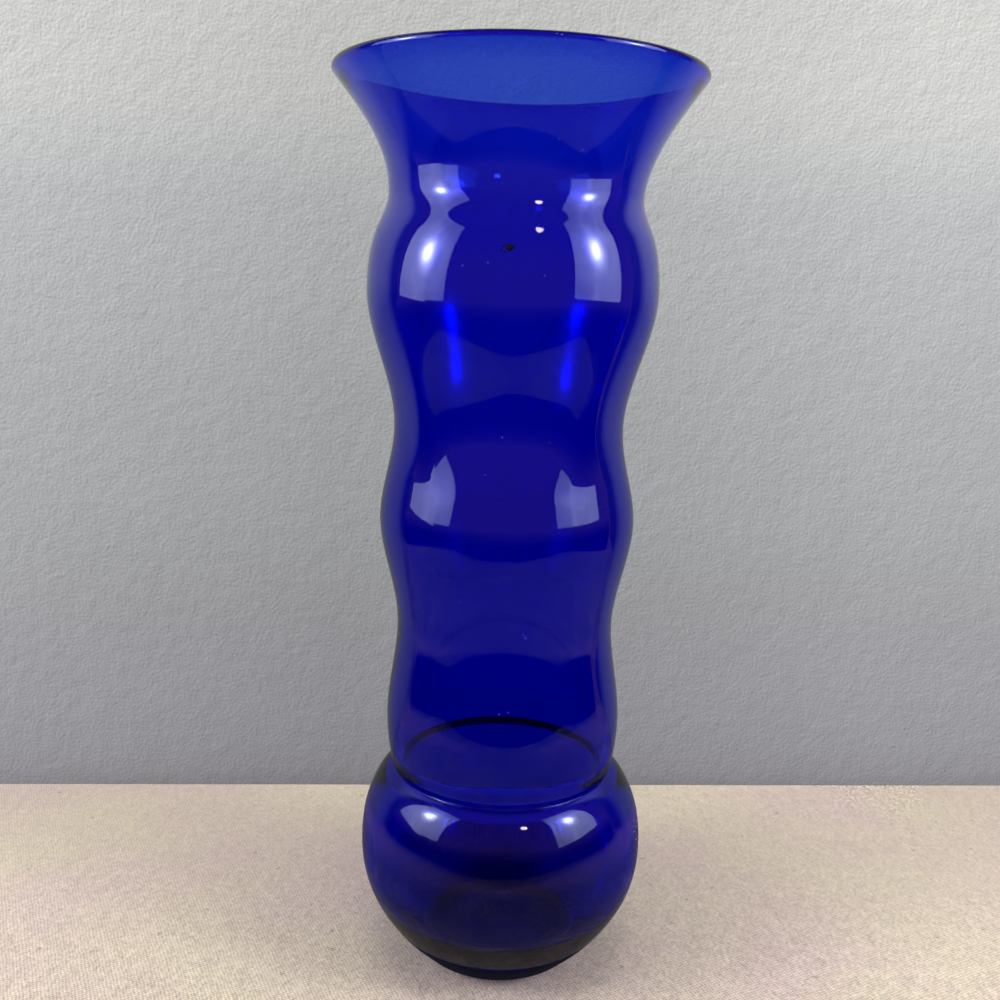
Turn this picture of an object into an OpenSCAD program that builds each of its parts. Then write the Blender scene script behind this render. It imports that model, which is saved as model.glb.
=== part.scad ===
// Blown glass vase: a wavy column on a round bulb, under a flared mouth.
// The glass is one revolved wall around the Z axis, and it stands on z = 0.

/* [Foot] */
// Radius at which the foot meets the table, before its edge is rounded
foot_r = 29.7; // [25:0.1:34]
// Radius of the rounded edge between the foot and the wall
foot_round = 1.2; // [0.4:0.1:2]
// Height over which the wall leaves the foot and takes up the bulb's curve
heel_h = 3; // [1:0.5:6]
// Radius of the shallow hollow under the foot
kick_r = 20; // [8:0.5:21]
// Depth of that hollow
kick_h = 1.5; // [0.5:0.1:3]
// Thickness of the glass floor above the table, at the centre
floor_t = 7; // [5:0.5:12]

/* [Bulb] */
// Radius of the bulb at its widest
bulb_r = 50.6; // [46:0.5:60]
// Height of the widest point above the table
bulb_rise = 40.2; // [30:0.5:52]
// Height from the widest point up to the crease
shoulder_h = 29.3; // [22:0.5:36]

/* [Crease] */
// Radius at the bottom of the crease between bulb and column
crease_r = 38.9; // [35:0.1:40]
// Radius of the fillet at the bottom of the crease
crease_fillet = 0.5; // [0.3:0.1:1.5]
// Reach of the smooth neck inside the glass, above and below the crease
neck_reach = 5; // [3:0.5:7]

/* [Column] */
// Radius of the lower swell
lower_swell_r = 41.1; // [39.5:0.1:46]
// Rise from the crease to the lower swell
lower_swell_rise = 18.8; // [14:0.1:30]
// Radius of the lower waist
lower_waist_r = 37.6; // [32:0.1:39.5]
// Rise from the lower swell to the lower waist
lower_waist_rise = 34; // [20:0.1:45]
// Radius of the middle swell
middle_swell_r = 43.6; // [40:0.1:50]
// Rise from the lower waist to the middle swell
middle_swell_rise = 37.3; // [24:0.1:50]
// Radius of the upper waist
upper_waist_r = 38.7; // [32:0.1:42]
// Rise from the middle swell to the upper waist
upper_waist_rise = 32.3; // [22:0.1:45]
// Radius of the upper swell, the widest of the three
upper_swell_r = 48; // [43:0.1:56]
// Rise from the upper waist to the upper swell
upper_swell_rise = 44; // [34:0.1:60]
// Radius of the throat under the mouth
throat_r = 41.4; // [35:0.1:44]
// Rise from the upper swell to the throat
throat_rise = 30.4; // [22:0.1:40]

/* [Mouth] */
// Outer radius of the lip
mouth_r = 60; // [51:0.5:70]
// Rise from the throat to the top of the lip
mouth_rise = 39; // [30:0.5:56]
// Angle between the lip and the vertical, in degrees
mouth_flare = 38; // [30:1:50]

/* [Glass] */
// Thickness of the wall
wall_t = 3; // [2.4:0.1:4]
// Thickness of the fire-polished lip
lip_t = 3.4; // [3.2:0.1:5]
// Height over which the wall swells into the lip
lip_h = 12; // [6:0.5:20]

/* [Hidden] */

// Half-heights of the ellipses below the bulb's widest point, and of the cavity above it
low_ellipse_share = 1.18;
up_ellipse_share = 1.78;
// How full the shoulder is before it runs level into the crease: 2 is an ellipse
shoulder_round_share = 1.55;
// How square the cavity's rounded floor is: 2 is an ellipse
floor_square_share = 2.4;
// Where the upper swell turns down to the throat, in shares of that span and of that step
turn_rise_share = 0.6;
turn_r_share = 0.6;
turn_slope_share = 1.5;
// How fast the column leaves the crease
crease_slope_share = 2;
// Steps in each curve of the outline
curve_steps = 12;
round_steps = 4;

// Heights above the table, each from the one below it
crease_z = bulb_rise + shoulder_h;
lower_swell_z = crease_z + lower_swell_rise;
lower_waist_z = lower_swell_z + lower_waist_rise;
middle_swell_z = lower_waist_z + middle_swell_rise;
upper_waist_z = middle_swell_z + upper_waist_rise;
upper_swell_z = upper_waist_z + upper_swell_rise;
throat_z = upper_swell_z + throat_rise;
vase_h = throat_z + mouth_rise;

// Vertical half-axes of the bulb outside, and of the cavity inside it
low_ellipse_h = bulb_rise * low_ellipse_share;
up_ellipse_h = shoulder_h * up_ellipse_share;
cavity_r = bulb_r - wall_t;
cavity_low_h = bulb_rise - floor_t;
cavity_up_h = up_ellipse_h - wall_t;

// How far the foot stands out from the ellipse of the bulb, at the table
foot_extra = foot_r - ellipse_r(bulb_r, low_ellipse_h, bulb_rise);

// Radius at which the shoulder runs level into the crease's fillet
shoulder_end_r = crease_r + crease_fillet;

// Centre of the lip's round edge, and the end of the outer wall, square to it
lip_centre = [mouth_r - lip_t / 2, vase_h - lip_t / 2];
lip_end = lip_centre + lip_t / 2 * [cos(mouth_flare), -sin(mouth_flare)];

// Stations of the outer wall from crease to lip: height, radius, radius gained per height
turn_z = throat_z - throat_rise * (1 - turn_rise_share);
turn_r = throat_r + (upper_swell_r - throat_r) * turn_r_share;
turn_slope = turn_slope_share * (throat_r - upper_swell_r) / throat_rise;
crease_slope = crease_slope_share * (lower_swell_r - crease_r) / lower_swell_rise;
stations = [
    [crease_z + crease_fillet, crease_r, crease_slope],
    [lower_swell_z, lower_swell_r, 0],
    [lower_waist_z, lower_waist_r, 0],
    [middle_swell_z, middle_swell_r, 0],
    [upper_waist_z, upper_waist_r, 0],
    [upper_swell_z, upper_swell_r, 0],
    [turn_z, turn_r, turn_slope],
    [throat_z, throat_r, 0],
    [lip_end[1], lip_end[0], tan(mouth_flare)]
];
last_span = len(stations) - 2;

// Radius of an ellipse at a height above or below its centre
function ellipse_r(r, h, dz) = r * sqrt(1 - pow(dz / h, 2));

// Slope of that ellipse at the same height
function ellipse_slope(r, h, dz) = -r * dz / h / h / sqrt(1 - pow(dz / h, 2));

// Radius on a cubic curve from station a to station b, at share t of the height between them
function cubic_r(a, b, t) =
    let (rise = b[0] - a[0])
    a[1] + (b[1] - a[1]) * (3 * t * t - 2 * t * t * t)
    + rise * (a[2] * t * pow(1 - t, 2) - b[2] * t * t * (1 - t));

// Slope of that curve
function cubic_slope(a, b, t) =
    let (rise = b[0] - a[0])
    (b[1] - a[1]) / rise * 6 * t * (1 - t)
    + a[2] * (1 - t) * (1 - 3 * t) + b[2] * t * (3 * t - 2);

// Point [radius, height] and slope on the curve between two stations
function cubic_point(a, b, t) = [cubic_r(a, b, t), a[0] + (b[0] - a[0]) * t];

// Thickness of the column's wall, which swells into the lip
function wall_at(z) =
    let (t = min(1, max(0, (z - lip_end[1] + lip_h) / lip_h)))
    wall_t + (lip_t - wall_t) * t * t * (3 - 2 * t);

// Point on the inner wall, square to the outer wall from point p with that slope
function inner_point(p, slope) = p + wall_at(p[1]) * [-1, slope] / sqrt(1 + slope * slope);

// Underside, from the axis out: a shallow hollow that eases into the flat ring
function kick_points() = [
    for (i = [0 : round_steps * 2])
        let (t = i / round_steps / 2)
        [kick_r * t, kick_h * (1 + cos(180 * t)) / 2]
];

// Outer radius of the lower bulb, where the foot spreads the wall near the table
function low_bulb_r(z) =
    ellipse_r(bulb_r, low_ellipse_h, bulb_rise - z) + foot_extra * exp(-z / heel_h);

// Rounded edge of the foot, tangent to the table
function foot_points() = [
    for (i = [0 : round_steps - 1])
        let (a = 90 * i / round_steps, z = foot_round * (1 - cos(a)))
        [low_bulb_r(z) - foot_round * (1 - sin(a)), z]
];

// Outer wall of the bulb, from the foot's edge up over the shoulder to the crease
function bulb_points() = [
    for (i = [0 : curve_steps * 2])
        let (z = foot_round + (bulb_rise - foot_round) * i / curve_steps / 2)
        [low_bulb_r(z), z],
    for (i = [1 : curve_steps])
        let (a = 90 * i / curve_steps, power = 2 / shoulder_round_share)
        [
            shoulder_end_r + (bulb_r - shoulder_end_r) * cos(a),
            bulb_rise + shoulder_h * pow(sin(a), power)
        ]
];

// Fillet at the bottom of the crease, from the shoulder up to the column
function crease_points() = [
    for (i = [1 : round_steps - 1])
        let (a = 90 * i / round_steps)
        [crease_r + crease_fillet * (1 - sin(a)), crease_z + crease_fillet * (1 - cos(a))]
];

// Outer wall of the column and the mouth
function column_points() = [
    for (k = [0 : last_span], i = [(k == 0 ? 0 : 1) : curve_steps])
        cubic_point(stations[k], stations[k + 1], i / curve_steps)
];

// Round edge of the lip, from the outer wall over the top to the inner wall
function lip_points() = [
    for (i = [1 : round_steps * 4 - 1])
        let (a = 180 * i / round_steps / 4 - mouth_flare)
        lip_centre + lip_t / 2 * [cos(a), sin(a)]
];

// Share of the first span at which the inner column starts, past the smooth neck
neck_share = neck_reach / (lower_swell_z - crease_z);

// Inner wall of the column, from the lip down to the neck
function inner_column_points() = [
    for (k = [last_span : -1 : 0], i = [curve_steps : -1 : (k == 0 ? 0 : 1)])
        let (t = k == 0 ? neck_share + (1 - neck_share) * i / curve_steps : i / curve_steps)
        inner_point(
            cubic_point(stations[k], stations[k + 1], t),
            cubic_slope(stations[k], stations[k + 1], t)
        )
];

// Smooth neck inside the crease, as stations: its top, its low end and the waist between them
neck_slope = cubic_slope(stations[0], stations[1], neck_share);
neck_top_point = inner_point(cubic_point(stations[0], stations[1], neck_share), neck_slope);
neck_top = [neck_top_point[1], neck_top_point[0], neck_slope];
neck_low_z = crease_z - neck_reach;
neck_low = [
    neck_low_z,
    ellipse_r(cavity_r, cavity_up_h, neck_low_z - bulb_rise),
    ellipse_slope(cavity_r, cavity_up_h, neck_low_z - bulb_rise)
];

neck_waist = [crease_z, crease_r - wall_t, 0];

// Inner wall through the neck, downwards past its waist
function inner_neck_points() = [
    for (i = [round_steps - 1 : -1 : 0])
        cubic_point(neck_waist, neck_top, i / round_steps),
    for (i = [round_steps * 2 - 1 : -1 : 1])
        cubic_point(neck_low, neck_waist, i / round_steps / 2)
];

// Inner wall of the bulb, down to the thick rounded floor on the axis
function cavity_points() = [
    for (i = [curve_steps : -1 : 1])
        let (z = bulb_rise + (neck_low_z - bulb_rise) * i / curve_steps)
        [ellipse_r(cavity_r, cavity_up_h, z - bulb_rise), z],
    for (i = [0 : curve_steps * 2])
        let (a = 90 * i / curve_steps / 2, power = 2 / floor_square_share)
        [cavity_r * pow(max(0, cos(a)), power), bulb_rise - cavity_low_h * pow(sin(a), power)]
];

// The whole vessel: a bulb, a column of three swells and a mouth in one wall of glass
module glass_vessel() {
    color([0.09, 0.13, 0.62, 0.8])
        rotate_extrude($fn = 120)
            polygon(concat(
                kick_points(),
                foot_points(),
                bulb_points(),
                crease_points(),
                column_points(),
                lip_points(),
                inner_column_points(),
                inner_neck_points(),
                cavity_points()
            ));
}

glass_vessel();
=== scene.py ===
import math

import bpy
import numpy as np
from mathutils import Euler, Matrix, Vector


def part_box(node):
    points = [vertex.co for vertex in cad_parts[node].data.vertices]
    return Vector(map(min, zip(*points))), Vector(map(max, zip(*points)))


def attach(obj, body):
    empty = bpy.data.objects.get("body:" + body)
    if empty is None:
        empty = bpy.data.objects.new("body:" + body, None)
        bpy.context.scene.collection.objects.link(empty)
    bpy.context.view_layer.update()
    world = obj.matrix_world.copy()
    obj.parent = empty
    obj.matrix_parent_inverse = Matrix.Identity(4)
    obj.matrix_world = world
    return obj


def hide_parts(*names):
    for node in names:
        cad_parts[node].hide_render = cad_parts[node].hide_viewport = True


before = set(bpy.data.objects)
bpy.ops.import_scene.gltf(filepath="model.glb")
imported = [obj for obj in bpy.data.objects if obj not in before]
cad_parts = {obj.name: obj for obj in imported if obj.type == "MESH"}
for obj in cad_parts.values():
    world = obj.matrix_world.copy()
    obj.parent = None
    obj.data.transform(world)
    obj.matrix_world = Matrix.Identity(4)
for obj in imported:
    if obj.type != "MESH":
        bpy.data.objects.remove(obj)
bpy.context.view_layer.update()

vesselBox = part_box("glass_vessel")


class Wire:
    # one output of a node; arithmetic on it adds the Math nodes
    def __init__(self, tree, socket):
        self.tree, self.socket = tree, socket

    def join(self, kind, first, second=0.0, clamp=False):
        return self.tree.add("ShaderNodeMath", {"operation": kind, "use_clamp": clamp}, {0: first, 1: second})

    def __add__(self, other):
        return self.join("ADD", self, other)

    def __sub__(self, other):
        return self.join("SUBTRACT", self, other)

    def __rsub__(self, other):
        return self.join("SUBTRACT", other, self)

    def __mul__(self, other):
        return self.join("MULTIPLY", self, other)

    def __truediv__(self, other):
        return self.join("DIVIDE", self, other)

    def __rpow__(self, other):
        return self.join("POWER", other, self)

    def __neg__(self):
        return self.join("MULTIPLY", self, -1.0)

    __radd__ = __add__
    __rmul__ = __mul__

    def clamp(self):
        return self.join("ADD", self, 0.0, True)

    def climb(self, start, reach):
        # 0 up to the start, 1 from a reach further on; a negative reach climbs the other way
        return ((self - start) / reach).clamp()

    def out(self, name):
        return Wire(self.tree, self.socket.node.outputs[name])


class Tree:
    # a material's, world's or lamp's nodes, all added through add()
    def __init__(self, owner):
        owner.use_nodes = True
        self.nodes, self.links = owner.node_tree.nodes, owner.node_tree.links
        self.nodes.clear()

    def add(self, kind, settings=None, sockets=None, out=0):
        node = self.nodes.new(kind)
        for name, value in (settings or {}).items():
            if name == "stops":
                while len(node.color_ramp.elements) < len(value):
                    node.color_ramp.elements.new(0.5)
                for stop, (place, colour) in zip(node.color_ramp.elements, value):
                    stop.position, stop.color = place, (*colour, 1)
            else:
                setattr(node, name, value)
        for name, value in (sockets or {}).items():
            if isinstance(value, Wire):
                self.links.new(value.socket, node.inputs[name])
            else:
                node.inputs[name].default_value = value
        return Wire(self, node.outputs[out]) if len(node.outputs) else node


def linear(red, green, blue):
    # a colour picked in 0 to 255 display values, as the linear colour that the shaders take
    shares = (red / 255, green / 255, blue / 255)
    return tuple(c / 12.92 if c <= 0.04045 else ((c + 0.055) / 1.055) ** 2.4 for c in shares)


def addPiece(name, points, faces, material):
    # a mesh object at the origin from an array of points and arrays of faces of equal length
    mesh = bpy.data.meshes.new(name)
    mesh.from_pydata(points.tolist(), [], [face for group in faces for face in group.tolist()])
    mesh.polygons.foreach_set("use_smooth", [True] * len(mesh.polygons))
    mesh.materials.append(material)
    mesh.update()
    piece = bpy.data.objects.new(name, mesh)
    bpy.context.scene.collection.objects.link(piece)
    return piece


def closedTurn(x, y, z, start, end):
    # a grid of rows round an axis, closed by a fan at each pole:
    # face (i, j) joins row i to row i + 1 between columns j and j + 1, the last column meeting the first
    rows, columns = x.shape
    points = np.concatenate([np.stack([x, y, z], -1).reshape(-1, 3), [start], [end]])
    here = np.arange(columns)
    after = (here + 1) % columns
    row = np.arange(rows - 1)[:, None] * columns
    quads = np.stack([row + here, row + after, row + columns + after, row + columns + here], -1).reshape(-1, 4)
    last = (rows - 1) * columns
    startFan = np.stack([after, here, np.full(columns, rows * columns)], -1)
    endFan = np.stack([last + here, last + after, np.full(columns, rows * columns + 1)], -1)
    return points, [quads, startFan, endFan]


def smoothThrough(knots, at):
    # a smooth curve through [place, value] knots: a cubic between neighbours, whose slope at each knot
    # is that of the knots on both sides, and zero at the two ends
    place, value = np.array(knots, float).T
    slope = np.gradient(value, place)
    slope[[0, -1]] = 0
    k = np.clip(np.searchsorted(place, at, side="right") - 1, 0, len(place) - 2)
    rise = place[k + 1] - place[k]
    t = np.clip((at - place[k]) / rise, 0, 1)
    return (value[k] + (value[k + 1] - value[k]) * (3 * t**2 - 2 * t**3)
            + rise * (slope[k] * t * (1 - t)**2 - slope[k + 1] * t**2 * (1 - t)))


vessel = {
    "columns": 188,
    "footRadius": 0.0297, "footRound": 0.0012, "heelHeight": 0.003,
    "kickRadius": 0.02, "kickHeight": 0.0015, "floorThickness": 0.0066,
    "bulbRadius": 0.0506, "bulbRise": 0.0402, "shoulderHeight": 0.0293,
    "lowEllipseShare": 1.18, "shoulderRound": 1.85, "shoulderTurn": 80,
    "cavityEllipseShare": 1.78, "floorSquareness": 2.6,
    "creaseRadius": 0.0389, "creaseFillet": 0.0005, "neckReach": 0.005,
    # swells and waists of the column, as [rise from the one below, radius]
    "column": [[0.0188, 0.0411], [0.034, 0.0376], [0.0373, 0.0436], [0.0323, 0.0387], [0.044, 0.048]],
    "throatRise": 0.0304, "throatRadius": 0.0414, "mouthFlare": 38,
    # the glass is thickest low in the column and thinnest in the mouth, as [height, metres]
    "wallThickness": [[0.07, 0.0036], [0.12, 0.0037], [0.2, 0.0035], [0.25, 0.0031], [0.285, 0.0024], [0.3, 0.0024]],
    "bulbThickness": 0.0039, "lipThickness": 0.0031, "lipSwellHeight": 0.006,
    # what the hand left: the axis strays to the right and the wall swells, as [height, metres]
    "axisStray": [[0, 0], [0.015, 0.00014], [0.04, 0.0001], [0.06, -0.00007], [0.072, -0.00033], [0.088, -0.00044],
                  [0.105, -0.00058], [0.122, -0.00069], [0.14, -0.0007], [0.16, -0.00075], [0.18, -0.00086],
                  [0.192, -0.00085], [0.214, -0.00085], [0.236, -0.00077], [0.252, -0.00073], [0.266, -0.00053],
                  [0.282, 0.00023], [0.296, 0.0002], [0.303, 0]],
    "wallStray": [[0, 0], [0.012, -0.0004], [0.025, -0.00005], [0.04, -0.00008], [0.055, 0.00016],
                  [0.064, -0.00008], [0.072, 0.0001], [0.088, 0.00009],
                  [0.105, 0.00012], [0.122, 0.00008], [0.14, -0.00002], [0.16, 0.00021], [0.18, 0.00013],
                  [0.192, 0.00017], [0.214, 0.00001], [0.236, 0.00017], [0.252, 0.00028], [0.266, 0.0001],
                  [0.282, -0.00008], [0.296, -0.00042], [0.303, 0]],
    "outOfRound": 0.00012, "thicknessStray": 0.00012, "waveHeight": 0.3,
    # flats pressed in by the tools: where they face and how far they reach round, in degrees from the front,
    # and how far the wall moves there, as [height, metres]
    "flats": [[-40, 13], [36, 16]],
    "flatStray": [[0.15, 0], [0.172, -0.0003], [0.176, -0.00035], [0.1785, -0.00005], [0.19, 0.0013], [0.232, 0]],
}


def ellipseRadius(radius, halfHeight, off):
    # radius times the root of 1 less the square of off over halfHeight
    return radius * np.sqrt(np.maximum(0, 1 - (off / halfHeight)**2))


def columnCurve(stations, t):
    # radius, height and slope along the stations [height, radius, slope]; t counts stations, and between two
    # of them the radius is the cubic that meets both radii and both slopes
    height, radius, slope = np.array(stations).T
    k = np.clip(t.astype(int), 0, len(height) - 2)
    s = t - k
    rise = height[k + 1] - height[k]
    step = radius[k + 1] - radius[k]
    r = radius[k] + step * (3 * s**2 - 2 * s**3) + rise * (slope[k] * s * (1 - s)**2 - slope[k + 1] * s**2 * (1 - s))
    turn = step / rise * 6 * s * (1 - s) + slope[k] * (1 - s) * (1 - 3 * s) + slope[k + 1] * s * (3 * s - 2)
    return r, height[k] + rise * s, turn


def vesselOutline(v, mouthRadius, height):
    # the closed outline [radius, height] from the underside's centre, up the outer wall, over the lip
    # and down the inner wall to the cavity's centre; the last value returned tells outer 1 from inner 0
    lowHalf = v["bulbRise"] * v["lowEllipseShare"]
    creaseHeight = v["bulbRise"] + v["shoulderHeight"]
    footExtra = v["footRadius"] - ellipseRadius(v["bulbRadius"], lowHalf, v["bulbRise"])
    bulbWall, lip, flare = v["bulbThickness"], v["lipThickness"], math.radians(v["mouthFlare"])

    def lowBulb(z):
        return ellipseRadius(v["bulbRadius"], lowHalf, v["bulbRise"] - z) + footExtra * np.exp(-z / v["heelHeight"])

    parts = []
    # underside: half a cosine wave from the hollow's centre to the flat ring
    t = np.linspace(0, 1, 14)[1:]
    parts.append([v["kickRadius"] * t, v["kickHeight"] * (1 + np.cos(np.pi * t)) / 2])
    t = np.linspace(0, 1, 5)[1:-1]
    parts.append([v["kickRadius"] + (v["footRadius"] - v["footRound"] - v["kickRadius"]) * t, 0 * t])
    # foot: a quarter circle of the foot's round, carried on the bulb's own radius
    a = np.linspace(0, np.pi / 2, 10)[:-1]
    z = v["footRound"] * (1 - np.cos(a))
    parts.append([lowBulb(z) - v["footRound"] * (1 - np.sin(a)), z])
    # bulb: the lower ellipse spread by the foot
    z = v["footRound"] + (v["bulbRise"] - v["footRound"]) * np.linspace(0, 1, 46)
    parts.append([lowBulb(z), z])
    # shoulder: part of a quarter turn whose height is the sine to the power of 2 over the roundness,
    # still sloping at its end, and an arc that turns it up out of the crease
    power, last = 2 / v["shoulderRound"], math.radians(v["shoulderTurn"])
    across = (v["bulbRadius"] - v["creaseRadius"]) / (1 - math.cos(last))
    steep = math.atan(power * v["shoulderHeight"] / math.tan(last) / (across * math.sin(last)))
    bottom = v["creaseRadius"] + v["creaseFillet"] * (1 - math.sin(steep))
    rise = v["shoulderHeight"] + v["creaseFillet"] * (1 - math.cos(steep))
    a = np.linspace(0, last, 49)[1:]
    parts.append([bottom + (v["bulbRadius"] - bottom) * (np.cos(a) - math.cos(last)) / (1 - math.cos(last)),
                  v["bulbRise"] + rise * (np.sin(a) / math.sin(last))**power])
    a = np.linspace(steep, np.pi / 2, 9)[1:-1]
    parts.append([v["creaseRadius"] + v["creaseFillet"] * (1 - np.sin(a)),
                  creaseHeight + v["creaseFillet"] * (1 - np.cos(a))])
    # stations of the column and the mouth
    rises, radii = np.array(v["column"]).T
    levels = creaseHeight + np.cumsum(rises)
    throat = levels[-1] + v["throatRise"]
    turnSlope = 1.5 * (v["throatRadius"] - radii[-1]) / v["throatRise"]
    lipCentre = np.array([mouthRadius - lip / 2, height - lip / 2])
    lipEnd = lipCentre + lip / 2 * np.array([math.cos(flare), -math.sin(flare)])
    stations = [[creaseHeight + v["creaseFillet"], v["creaseRadius"], 2 * (radii[0] - v["creaseRadius"]) / rises[0]]]
    stations += [[level, radius, 0] for level, radius in zip(levels, radii)]
    gathered = v["throatRadius"] + 0.6 * (radii[-1] - v["throatRadius"])
    stations += [[throat - 0.4 * v["throatRise"], gathered, turnSlope], [throat, v["throatRadius"], 0],
                 [lipEnd[1], lipEnd[0], math.tan(flare)]]
    spans = len(stations) - 1
    parts.append(columnCurve(stations, np.linspace(0, spans, spans * 21 + 1))[:2])
    # lip: half a circle from the outer wall over the top
    lipPoints = 20
    a = np.linspace(0, np.pi, lipPoints + 2)[1:-1] - flare
    parts.append([lipCentre[0] + lip / 2 * np.cos(a), lipCentre[1] + lip / 2 * np.sin(a)])
    outerCount = sum(len(part[0]) for part in parts) - lipPoints // 2
    # inner wall: the outer curve moved square to itself by the wall, which swells into the lip
    neckShare = v["neckReach"] / rises[0]
    r, z, turn = columnCurve(stations, np.linspace(spans, neckShare, spans * 15))
    t = np.clip((z - lipEnd[1] + v["lipSwellHeight"]) / v["lipSwellHeight"], 0, 1)
    thick = smoothThrough(v["wallThickness"], z)
    thick = thick + (lip - thick) * t * t * (3 - 2 * t)
    length = np.sqrt(1 + turn**2)
    parts.append([r - thick / length, z + thick * turn / length])
    # smooth neck inside the crease, down to the cavity of the bulb
    cavity, cavityUp = v["bulbRadius"] - bulbWall, v["shoulderHeight"] * v["cavityEllipseShare"] - bulbWall
    off = v["shoulderHeight"] - v["neckReach"]
    lowSlope = -cavity * off / cavityUp**2 / math.sqrt(1 - (off / cavityUp)**2)
    neck = [[v["bulbRise"] + off, ellipseRadius(cavity, cavityUp, off), lowSlope],
            [creaseHeight, v["creaseRadius"] - bulbWall, 0],
            [parts[-1][1][-1], parts[-1][0][-1], turn[-1]]]
    parts.append(columnCurve(neck, np.linspace(2, 0, 25)[1:])[:2])
    # cavity: the inner ellipse down to the widest point, then a rounded floor whose power is the squareness
    z = v["bulbRise"] + off * np.linspace(1, 0, 22)[1:-1]
    parts.append([ellipseRadius(cavity, cavityUp, z - v["bulbRise"]), z])
    a = np.linspace(0, np.pi / 2, 46)[:-1]
    power, deep = 2 / v["floorSquareness"], v["bulbRise"] - v["floorThickness"]
    parts.append([cavity * np.cos(a)**power, v["bulbRise"] - deep * np.sin(a)**power])
    r, z = np.concatenate([np.array(part) for part in parts], 1)
    side = (np.arange(len(r)) < outerCount).astype(float)
    return r, z, side


def strayed(r, z, inner, around):
    # moves the wall by the strays at its height and lets it wander round the axis in two and three slow waves
    v = vessel
    calm = np.clip(z / 0.02, 0, 1) * np.clip((0.3 - z) / 0.03, 0, 1)  # still at the foot and at the lip
    rise = z / v["waveHeight"]
    waves = np.sin(2 * around + 9 * rise) + 0.6 * np.sin(3 * around + 1.1 - 14 * rise)
    thin = np.sin(around + 0.8 + 7 * rise) + 0.7 * np.sin(2 * around + 2.2 - 5 * rise)
    body = np.clip(r / 0.03, 0, 1)
    radius = r + body * calm * (smoothThrough(v["wallStray"], z) + v["outOfRound"] * waves
                                + inner * v["thicknessStray"] * thin)
    front = (np.degrees(around) + 270) % 360 - 180
    for facing, reach in v["flats"]:
        radius = radius + smoothThrough(v["flatStray"], z) * np.exp(-((front - facing) / reach)**2)
    return radius * np.cos(around) + smoothThrough(v["axisStray"], z) * body, radius * np.sin(around)


marks = {
    # what is blown into the wall: [degrees from the front, height, radius, share of the wall's depth]
    "stones": [[-1.55, 0.2491, 0.00104, 0.4], [-3.7, 0.2494, 0.00034, 0.35], [-4.5, 0.2484, 0.00026, 0.3],
               [-3.3, 0.2478, 0.00022, 0.35], [0.6, 0.2498, 0.0002, 0.3]],
    "seeds": [[-2.8, 0.1929, 0.0003, 0.3], [19.5, 0.1914, 0.00028, 0.35], [10.8, 0.1284, 0.00036, 0.3],
              [9.7, 0.1294, 0.00024, 0.3], [-10.1, 0.1811, 0.00024, 0.4], [-9, 0.2447, 0.00024, 0.3],
              [-18.2, 0.2437, 0.00026, 0.35], [11.2, 0.2415, 0.00022, 0.3], [-1.2, 0.1031, 0.0003, 0.3],
              [3, 0.1038, 0.00026, 0.3], [150, 0.2864, 0.0003, 0.5], [163, 0.291, 0.00026, 0.5],
              [-95, 0.21, 0.0003, 0.4], [120, 0.16, 0.0003, 0.4], [-150, 0.12, 0.0003, 0.4],
              [70, 0.23, 0.00026, 0.4]],
    "rows": 14, "columns": 18, "stoneLumps": 0.3, "seedLumps": 0.0,
}


glass = {
    # what the glass lets through, and how strongly it holds back the rest
    "bodyColour": (0.0, 0.333, 0.9593), "bodyDensity": 1350.0, "index": 1.5,
    "smearScale": 34.0, "patchScale": 11.0, "polish": 0.004, "smearDullness": 0.05,
    "rippleScale": 46.0, "rippleDepth": 0.00006,
}


def glassFinish(g):
    # cobalt glass: clear and blue-absorbing inside, polished outside with the faintest smears and ripples
    material = bpy.data.materials.new("cobaltGlass")
    tree = Tree(material)
    place = tree.add("ShaderNodeTexCoord", out="Object")
    smear = tree.add("ShaderNodeTexNoise", {}, {
        "Vector": place, "Scale": g["smearScale"], "Detail": 5.0, "Roughness": 0.62})
    patch = tree.add("ShaderNodeTexNoise", {}, {"Vector": place, "Scale": g["patchScale"], "Detail": 2.0})
    dull = ((smear - 0.52) * 3).clamp() * ((patch - 0.48) * 4).clamp()
    ripple = tree.add("ShaderNodeTexNoise", {}, {
        "Vector": place, "Scale": g["rippleScale"], "Detail": 1.5, "Roughness": 0.4})
    bump = tree.add("ShaderNodeBump", {}, {"Strength": 1.0, "Distance": g["rippleDepth"], "Height": ripple})
    shader = tree.add("ShaderNodeBsdfPrincipled", {}, {
        "Base Color": (1, 1, 1, 1), "Transmission Weight": 1.0, "IOR": g["index"],
        "Roughness": g["polish"] + dull * g["smearDullness"], "Normal": bump})
    body = tree.add("ShaderNodeVolumeAbsorption", {}, {"Color": (*g["bodyColour"], 1), "Density": g["bodyDensity"]})
    tree.add("ShaderNodeOutputMaterial", {}, {"Surface": shader, "Volume": body})
    return material


def makeVessel(material):
    v = vessel
    low, high = vesselBox
    r, z, side = vesselOutline(v, (high[0] - low[0]) / 2, high[2])
    around = np.linspace(0, 2 * np.pi, v["columns"], endpoint=False)
    r, z, side = (np.repeat(a[:, None], v["columns"], 1) for a in (r, z, side))
    around = np.broadcast_to(around, r.shape)
    x, y = strayed(r, z, 1 - side, around)
    turned = closedTurn(x, y, z, (0, 0, v["kickHeight"]), (0, 0, v["floorThickness"]))
    piece = addPiece("blownVessel", *turned, material)
    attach(piece, "root")
    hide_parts("glass_vessel")


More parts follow.
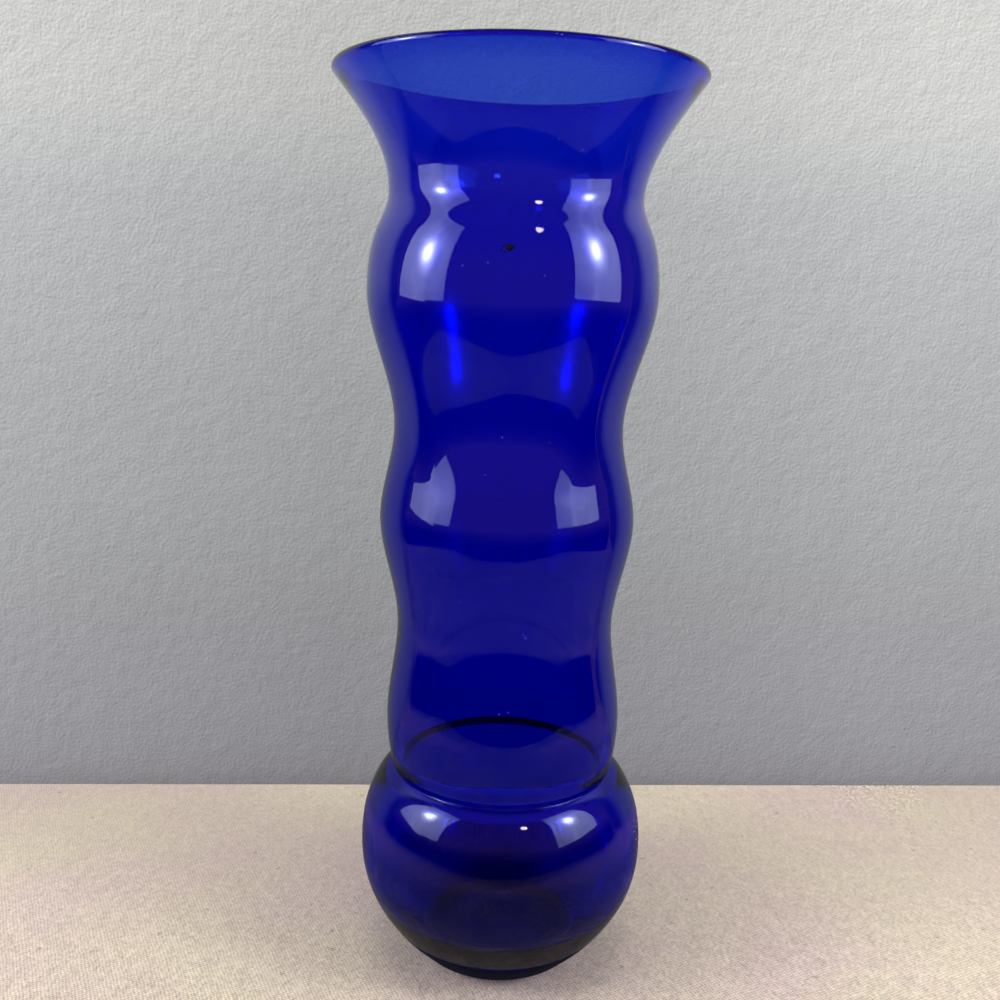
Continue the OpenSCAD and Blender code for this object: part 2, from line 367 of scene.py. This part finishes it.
def markFinish(name, dark, pale, roughness):
    # one tone clouded into another, which also glows in that tone: painted light, for the pale seeds a painted glint
    material = bpy.data.materials.new(name)
    tree = Tree(material)
    place = tree.add("ShaderNodeTexCoord", out="Object")
    cloud = tree.add("ShaderNodeTexNoise", {}, {"Vector": place, "Scale": 1500.0, "Detail": 2.0})
    colour = tree.add("ShaderNodeMix", {"data_type": "RGBA"}, {
        "Factor": ((cloud - 0.5) * 3 + 0.5).clamp(), 6: (*dark, 1), 7: (*pale, 1)}, out=2)
    shader = tree.add("ShaderNodeBsdfPrincipled", {}, {
        "Base Color": colour, "Roughness": roughness, "Specular IOR Level": 0.1, "Emission Color": colour,
        "Emission Strength": 0.25})
    tree.add("ShaderNodeOutputMaterial", {}, {"Surface": shader})
    return material


def makeMarks(name, key, lumpy, material):
    # closed balls along the wall, made lumpy by slow waves over their latitude and longitude
    r, z, side = vesselOutline(vessel, vesselBox[1][0], vesselBox[1][2])
    outer = (side > 0.5) & (z > 0.01)
    count = marks["columns"]
    up = np.repeat(np.linspace(0, np.pi, marks["rows"] + 2)[1:-1, None], count, 1)
    turn = np.broadcast_to(np.linspace(0, 2 * np.pi, count, endpoint=False), up.shape)
    shells, faces, start = [], [], 0
    for k, (facing, height, size, depth) in enumerate(marks[key]):
        a = math.radians(facing - 90)
        wall, stray, shift = (float(smoothThrough(vessel[name], height))
                              for name in ("wallThickness", "wallStray", "axisStray"))
        away = float(np.interp(height, z[outer], r[outer])) + stray - wall * depth
        x, y = away * math.cos(a) + shift, away * math.sin(a)
        waves = np.sin(2 * turn + k) * np.sin(up)**2 + 0.6 * np.sin(3 * turn + 2 * k) * np.sin(up)**3
        girth = size * (1 + lumpy * waves) * np.sin(up)
        points, groups = closedTurn(x + girth * np.cos(turn), y + girth * np.sin(turn), height - size * np.cos(up),
                                    (x, y, height - size), (x, y, height + size))
        shells.append(points)
        faces.append([group + start for group in groups])
        start += len(points)
    piece = addPiece(name, np.concatenate(shells), [group for groups in faces for group in groups], material)
    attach(piece, "root")


print("vessel")
makeVessel(glassFinish(glass))
print("marks in the glass")
makeMarks("stone", "stones", marks["stoneLumps"], markFinish("darkStone", linear(6, 6, 14), linear(20, 20, 46), 0.6))
# the seeds' pale glowing tone is a painted glint of light in the bubbles
makeMarks("seeds", "seeds", marks["seedLumps"],
          markFinish("paintedGlintSeed", linear(120, 130, 235), linear(170, 180, 250), 0.3))


camera = {"lens": 38.16, "place": (0, -0.35925, 0.23893), "lookDown": 11.527, "roll": 1.582, "shiftX": -0.00947}


def makeCamera(c):
    data = bpy.data.cameras.new("camera")
    data.lens, data.sensor_width, data.shift_x = c["lens"], 36, c["shiftX"]
    data.clip_start, data.clip_end = 0.01, 50
    piece = bpy.data.objects.new("camera", data)
    tilt = Euler((math.radians(90 - c["lookDown"]), 0, 0)).to_matrix()
    turn = tilt @ Matrix.Rotation(math.radians(c["roll"]), 3, "Z")
    piece.matrix_world = Matrix.Translation(c["place"]) @ turn.to_4x4()
    bpy.context.scene.collection.objects.link(piece)
    bpy.context.scene.camera = piece


stage = {
    "floorColours": [linear(208, 197, 173), linear(205, 187, 177)], "floorSize": 2.5,
    "threadPitch": 0.0016, "threadTurn": 18, "threadDepth": 0.36, "threadDrift": 0.0016, "fleckDepth": 0.22,
    # how the linen and the plaster stand up, painted as the light and shade of their relief, as layers of [scale,
    # step, detail, depth]
    "linenReliefShading": [[700.0, 0.0006, 4.0, 1.25], [210.0, 0.0016, 3.0, 0.6]],
    "plasterReliefShading": [[800.0, 0.0004, 5.0, 0.85], [170.0, 0.0012, 4.0, 0.36]],
    # the weave fades with the distance, and painted light brightens the floor to the right
    "nearFrom": 0.06, "nearSpan": 0.2, "farShare": 0.4, "rightRise": 0.085,
    # the deeper shade round the foot that shows through the glass: its outer and inner radius
    "shadeReach": (0.118, 0.07), "shadeDepth": 0.5,
    # where the table ends, and how much of it the glass doesn't reflect: a painted shade on the floor's reflection,
    # deeper near the foot, and right under the foot a painted contact shadow in reflections
    "tableFront": -0.33, "tableSide": 0.47, "footShade": 0.0362,
    "glossyThinned": 0.8, "glossyNear": 0.25, "nearReach": (0.08, 0.035),
    "backdropDistance": 0.1185, "backdropTurn": 3.2, "backdropWidth": 1.6, "backdropHeight": 0.9,
    # the backdrop's painted light from the floor up, as [height, display colour]: the wall glows brighter with the
    # height
    "backdropPaintedLight": [[0.0, (123, 121, 124)], [0.008, (133, 131, 135)], [0.022, (138, 137, 141)],
                        [0.045, (142, 141, 146)], [0.092, (147, 147, 150)], [0.14, (155, 156, 158)],
                        [0.186, (160, 161, 163)], [0.23, (167, 168, 169)], [0.272, (172, 174, 176)],
                        [0.313, (189, 190, 188)], [0.35, (193, 194, 191)]],
    # painted light across the wall: darkest at darkestAcross, rising to both sides and falling off far out; glossyLow
    # is a painted shade on its low part in reflections
    "darkestAcross": -0.03, "sideRise": 0.25, "sideFall": 1.1, "glossyLow": 0.4,
    # a strip round the front, seen only in reflections, which paints the reflection of a dark room: its corners from
    # above, its top, and where it leaves black
    "stripCorners": [(-0.62, 0.1), (-0.62, -0.2), (-0.35, -0.37), (0.35, -0.37), (0.62, -0.2), (0.62, 0.1)],
    "stripBottom": -0.05, "stripTop": 0.165, "stripStart": 0.06, "stripLevel": 0.12, "stripTone": (1.35, 0.72, 1.05),
}


def weave(tree, place, pitch, drift, turn):
    # threads both ways: the product of two sine waves across a turned square grid that drifts a little
    wander = tree.add("ShaderNodeTexNoise", {}, {"Vector": place, "Scale": 210.0, "Detail": 4.0}, out="Color")
    offset = tree.add("ShaderNodeVectorMath", {"operation": "SCALE"}, {0: wander, "Scale": drift})
    moved = tree.add("ShaderNodeVectorMath", {"operation": "ADD"}, {0: place, 1: offset})
    turned = tree.add("ShaderNodeMapping", {"vector_type": "POINT"}, {
        0: moved, "Rotation": (0, 0, math.radians(turn))})
    parts = tree.add("ShaderNodeSeparateXYZ", {}, {0: turned})
    over = parts.join("SINE", parts.out("X") * (2 * math.pi / pitch))
    across = parts.join("SINE", parts.out("Y") * (2 * math.pi / pitch))
    return over * across


def relief(tree, place, layers):
    # how a bumpy surface shades under light from one side: for each layer, a noise less the same noise
    # a step further on, times its depth
    total = 0
    for scale, step, detail, depth in layers:
        here = tree.add("ShaderNodeTexNoise", {}, {"Vector": place, "Scale": scale, "Detail": detail})
        moved = tree.add("ShaderNodeMapping", {"vector_type": "POINT"}, {0: place, "Location": (step, 0, -step)})
        there = tree.add("ShaderNodeTexNoise", {}, {"Vector": moved, "Scale": scale, "Detail": detail})
        total = total + (here - there) * depth
    return total


def inward(radius, reach):
    # climbs from 0 at the outer radius to 1 at the inner one
    outer, inner = reach
    return radius.climb(outer, inner - outer)


def mirrored(tree):
    # 1 for a ray that comes off the glass as a reflection, 0 for one that went through it
    path = tree.add("ShaderNodeLightPath")
    return path.out("Is Glossy Ray") * (1 - path.out("Is Transmission Ray"))


def floorFinish(s):
    # pale linen; glass reflects it only as far as a table reaches, under a painted shade that deepens near the foot,
    # and not from under its own foot, where the reflection shows a painted contact shadow
    material = bpy.data.materials.new("paleLinen")
    tree = Tree(material)
    place = tree.add("ShaderNodeTexCoord", out="Object")
    parts = tree.add("ShaderNodeSeparateXYZ", {}, {0: place})
    tint = tree.add("ShaderNodeTexNoise", {}, {"Vector": place, "Scale": 14.0, "Detail": 3.0})
    first, second = s["floorColours"]
    colour = tree.add("ShaderNodeMix", {"data_type": "RGBA"}, {
        "Factor": ((tint - 0.5) * 2.5 + 0.5).clamp(), 6: (*first, 1), 7: (*second, 1)}, out=2)
    near = s["farShare"] + (1 - s["farShare"]) * parts.out("Y").climb(s["nearFrom"], -s["nearSpan"])
    threads = weave(tree, place, s["threadPitch"], s["threadDrift"], s["threadTurn"]) * s["threadDepth"]
    fleck = tree.add("ShaderNodeTexNoise", {}, {"Vector": place, "Scale": 190.0, "Detail": 1.0})
    level = 1 + (threads + relief(tree, place, s["linenReliefShading"])) * near
    level = level - ((fleck - 0.73) * 30).clamp() * s["fleckDepth"]
    # painted light: the floor brighter to the right
    level = level * (1 + s["rightRise"] * parts.out("X").climb(0.03, 0.12))
    # through the glass, the floor round the foot shows its deepest shade
    through = tree.add("ShaderNodeLightPath", out="Is Transmission Ray")
    flat = tree.add("ShaderNodeVectorMath", {"operation": "MULTIPLY"}, {0: place, 1: (1, 1, 0)})
    radius = tree.add("ShaderNodeVectorMath", {"operation": "LENGTH"}, {0: flat}, out="Value")
    shade = inward(radius, s["shadeReach"]) * through * s["shadeDepth"]
    shaded = tree.add("ShaderNodeVectorMath", {"operation": "SCALE"}, {0: colour, "Scale": level * (1 - shade)})
    cloth = tree.add("ShaderNodeBsdfPrincipled", {}, {
        "Base Color": shaded, "Roughness": 0.9, "Specular IOR Level": 0.2})
    beyondFront = parts.join("LESS_THAN", parts.out("Y"), s["tableFront"])
    beyondSide = parts.join("GREATER_THAN", parts.join("ABSOLUTE", parts.out("X")), s["tableSide"])
    # painted contact shadow in reflections: under the foot the glass sees the dark below the floor
    underFoot = radius.climb(s["footShade"] + 0.0005, -0.001)
    # painted shade: the floor's reflection dimmed everywhere, more near the foot
    thinned = s["glossyThinned"] - inward(radius, s["nearReach"]) * s["glossyNear"]
    gone = (thinned + beyondFront + beyondSide + underFoot).clamp() * mirrored(tree)
    clear = tree.add("ShaderNodeBsdfTransparent")
    both = tree.add("ShaderNodeMixShader", {}, {0: gone, 1: cloth, 2: clear})
    tree.add("ShaderNodeOutputMaterial", {}, {"Surface": both})
    return material


def backdropFinish(s):
    # a grey plastered wall that glows instead of being lit: painted light that climbs with the height and rises a
    # little to both sides
    material = bpy.data.materials.new("greyPlaster")
    tree = Tree(material)
    place = tree.add("ShaderNodeTexCoord", out="Object")
    parts = tree.add("ShaderNodeSeparateXYZ", {}, {0: place})
    top = s["backdropPaintedLight"][-1][0]
    stops = [(height / top, linear(*colour)) for height, colour in s["backdropPaintedLight"]]
    colour = tree.add("ShaderNodeValToRGB", {"stops": stops}, {0: (parts.out("Z") / top).clamp()})
    across = parts.join("ABSOLUTE", parts.out("X") - s["darkestAcross"])
    # painted light: brighter a little to both sides of the darkest line, darker far out
    side = 1 + s["sideRise"] * across.climb(0.05, 0.16) - s["sideFall"] * across.climb(0.3, 0.16)
    mottle = tree.add("ShaderNodeTexNoise", {}, {"Vector": place, "Scale": 45.0, "Detail": 3.0})
    # painted shade: in reflections the wall is darker below about a quarter metre
    low = 1 - mirrored(tree) * s["glossyLow"] * parts.out("Z").climb(0.25, -0.06)
    strength = side * low * (0.96 + mottle * 0.08 + relief(tree, place, s["plasterReliefShading"]))
    glow = tree.add("ShaderNodeEmission", {}, {"Color": colour, "Strength": strength})
    clear = tree.add("ShaderNodeBsdfTransparent")
    facing = tree.add("ShaderNodeNewGeometry", out="Backfacing")
    both = tree.add("ShaderNodeMixShader", {}, {0: facing, 1: glow, 2: clear})
    tree.add("ShaderNodeOutputMaterial", {}, {"Surface": both})
    return material


def stripFinish(s):
    # a painted reflection: black up to its start, from where its glow climbs with the square of the height
    material = bpy.data.materials.new("darkStrip")
    tree = Tree(material)
    height = tree.add("ShaderNodeSeparateXYZ", {}, {0: tree.add("ShaderNodeTexCoord", out="Object")}).out("Z")
    rise = height.climb(s["stripStart"], s["stripTop"] - s["stripStart"])
    glow = tree.add("ShaderNodeEmission", {}, {
        "Color": (*s["stripTone"], 1), "Strength": rise * rise * s["stripLevel"]})
    tree.add("ShaderNodeOutputMaterial", {}, {"Surface": glow})
    return material


def addPanel(name, corners, material):
    addPiece(name, np.array(corners, float), [np.array([[0, 1, 2, 3]])], material)


def makeStage(s):
    size = s["floorSize"]
    addPanel("floor", [(-size, -size, 0), (size, -size, 0), (size, size, 0), (-size, size, 0)], floorFinish(s))
    turn = math.tan(math.radians(s["backdropTurn"]))
    left, right = -s["backdropWidth"] / 2, s["backdropWidth"] / 2
    back, top = s["backdropDistance"], s["backdropHeight"]
    addPanel("backdrop", [(left, back + turn * left, 0), (right, back + turn * right, 0),
                          (right, back + turn * right, top), (left, back + turn * left, top)], backdropFinish(s))
    corners = np.array(s["stripCorners"])
    count = len(corners)
    low, high = (np.column_stack([corners, np.full(count, z)]) for z in (s["stripBottom"], s["stripTop"]))
    k = np.arange(count - 1)
    sides = np.stack([k + 1, k, k + count, k + 1 + count], -1)
    strip = addPiece("strip", np.concatenate([low, high]), [sides], stripFinish(s))
    strip.visible_camera = strip.visible_transmission = strip.visible_diffuse = strip.visible_shadow = False


lights = {
    # a softbox on each side: [azimuth from the front, distance, height of the centre, width, height, lean in degrees]
    "softboxes": {"softboxLeft": [-67.5, 0.6, 0.48, 0.46, 0.65, -9],
                  "softboxRight": [66.5, 0.6, 0.52, 0.45, 0.67, -1]},
    # a fold runs down each softbox, this share of its width from the inner edge
    "foldShare": 0.38,
    # how bright a softbox is inside and outside the fold and at its hot middle, and the middle's place and reach
    "innerLevel": 1.5, "outerLevel": 2.2, "hotLevel": 34, "hotPlace": (0.48, 0.43), "hotReach": (0.11, 0.11),
    "haloLevel": 3.6, "haloReach": (0.4, 0.3),
    # what rays through the glass see round the hot middle instead, with no hard edge, and the tone in reflections
    "glowLevel": 8, "glowReach": (0.3, 0.24), "mirrorTone": (0.76, 0.84, 1.4),
    "cloudScale": 4.0, "cloudDepth": 0.9,
    "topHeight": 0.95, "topSize": 0.5, "topLevel": 5.6,
    "lampPlace": (1.1, -2.6, 2.6), "lampRadius": 0.18, "lampPower": 26, "lampColour": (1.0, 0.86, 0.72),
    # the room's brightness at the level of the vase, high up and below the table, and its tones
    "worldLevel": 0.13, "worldHigh": 0.1, "worldUnder": 0.03,
    "roomTone": (1.08, 0.88, 1.02), "mirroredRoomTone": (1.4, 0.7, 1.05), "underTone": (0.6, 0.62, 1.0),
}


def addSoftbox(name, spec, levelOf, rays, behind=0, tone=(1, 1, 1)):
    # a panel of light that faces the axis, for one kind of ray; levelOf gives its brightness by the shares of its
    # width from the inner edge and of its height
    azimuth, distance, height, width, tall, lean = spec
    data = bpy.data.lights.new(name, "AREA")
    data.shape, data.size, data.size_y = "RECTANGLE", width, tall
    data.energy = math.pi * width * tall
    tree = Tree(data)
    place = tree.add("ShaderNodeNewGeometry", out="Parametric")
    parts = tree.add("ShaderNodeSeparateXYZ", {}, {0: place})
    level = levelOf(1 - parts.out("X") if azimuth < 0 else parts.out("X"), parts.out("Y"))
    # the faint clouds and creases of its cloth
    cloud = tree.add("ShaderNodeTexNoise", {}, {
        "Vector": place, "Scale": lights["cloudScale"], "Detail": 3.0, "Distortion": 0.8})
    level = level * (1 + (cloud - 0.5) * lights["cloudDepth"])
    glow = tree.add("ShaderNodeEmission", {}, {"Color": (*tone, 1), "Strength": level})
    tree.add("ShaderNodeOutputLight", {}, {0: glow})
    piece = bpy.data.objects.new(name, data)
    a, away = math.radians(azimuth), distance + behind
    centre = Vector((math.sin(a) * away, -math.cos(a) * away, height))
    facing = Vector((-centre.x, -centre.y, 0)).to_track_quat("-Z", "Y").to_matrix()
    turn = facing @ Matrix.Rotation(math.radians(lean), 3, "Z")
    piece.matrix_world = Matrix.Translation(centre) @ turn.to_4x4()
    for kind in ("camera", "diffuse", "glossy", "transmission"):
        setattr(piece, "visible_" + kind, kind == rays)
    bpy.context.scene.collection.objects.link(piece)


def makeLights(g):
    def bump(u, v, level, reach):
        # a bell round the hot middle, with this reach across and up
        across, up = (u - g["hotPlace"][0]) / reach[0], (v - g["hotPlace"][1]) / reach[1]
        return level * math.e ** -(across * across + up * up)

    def panel(u, v):
        inside = ((g["foldShare"] - u) * 40 + 0.5).clamp()
        return (g["outerLevel"] + (g["innerLevel"] - g["outerLevel"]) * inside
                + bump(u, v, g["hotLevel"], g["hotReach"]) + bump(u, v, g["haloLevel"], g["haloReach"]))

    def glow(u, v):
        return bump(u, v, g["hotLevel"], g["hotReach"]) + bump(u, v, g["glowLevel"], g["glowReach"])

    # each stands a little behind the one before, because a ray meets only one of two panels in the same place
    for name, spec in g["softboxes"].items():
        addSoftbox(name, spec, panel, "diffuse")
        addSoftbox(name + "Mirror", spec, panel, "glossy", 0.004, g["mirrorTone"])
        addSoftbox(name + "Glow", spec, glow, "transmission", 0.008)
    data = bpy.data.lights.new("softboxTop", "AREA")
    data.shape, data.size = "SQUARE", g["topSize"]
    data.energy = g["topLevel"] * math.pi * g["topSize"]**2
    piece = bpy.data.objects.new("softboxTop", data)
    piece.location = (0, 0, g["topHeight"])
    piece.visible_camera = piece.visible_glossy = piece.visible_transmission = False
    bpy.context.scene.collection.objects.link(piece)
    data = bpy.data.lights.new("lamp", "POINT")
    data.shadow_soft_size, data.energy = g["lampRadius"], g["lampPower"]
    data.color = g["lampColour"]
    piece = bpy.data.objects.new("lamp", data)
    piece.location = g["lampPlace"]
    piece.visible_camera = False
    bpy.context.scene.collection.objects.link(piece)


def makeWorld(g):
    # a plain room: its brightness and tone by the rise of the ray
    world = bpy.data.worlds.new("world")
    bpy.context.scene.world = world
    tree = Tree(world)
    rise = tree.add("ShaderNodeSeparateXYZ", {}, {0: tree.add("ShaderNodeTexCoord", out="Generated")}).out("Z")
    above, high = rise.climb(-0.42, 0.08), rise.climb(0.26, 0.24)
    strength = (g["worldUnder"] + (g["worldLevel"] - g["worldUnder"]) * above
                + (g["worldHigh"] - g["worldLevel"]) * high)
    room = tree.add("ShaderNodeMix", {"data_type": "RGBA"}, {
        "Factor": mirrored(tree), 6: (*g["roomTone"], 1), 7: (*g["mirroredRoomTone"], 1)}, out=2)
    tone = tree.add("ShaderNodeMix", {"data_type": "RGBA"}, {
        "Factor": above, 6: (*g["underTone"], 1), 7: room}, out=2)
    sky = tree.add("ShaderNodeBackground", {}, {"Color": tone, "Strength": strength})
    tree.add("ShaderNodeOutputWorld", {}, {"Surface": sky})


print("stage")
makeCamera(camera)
makeStage(stage)
makeLights(lights)
makeWorld(lights)
bpy.context.scene.view_settings.view_transform = "Standard"

print("finish")
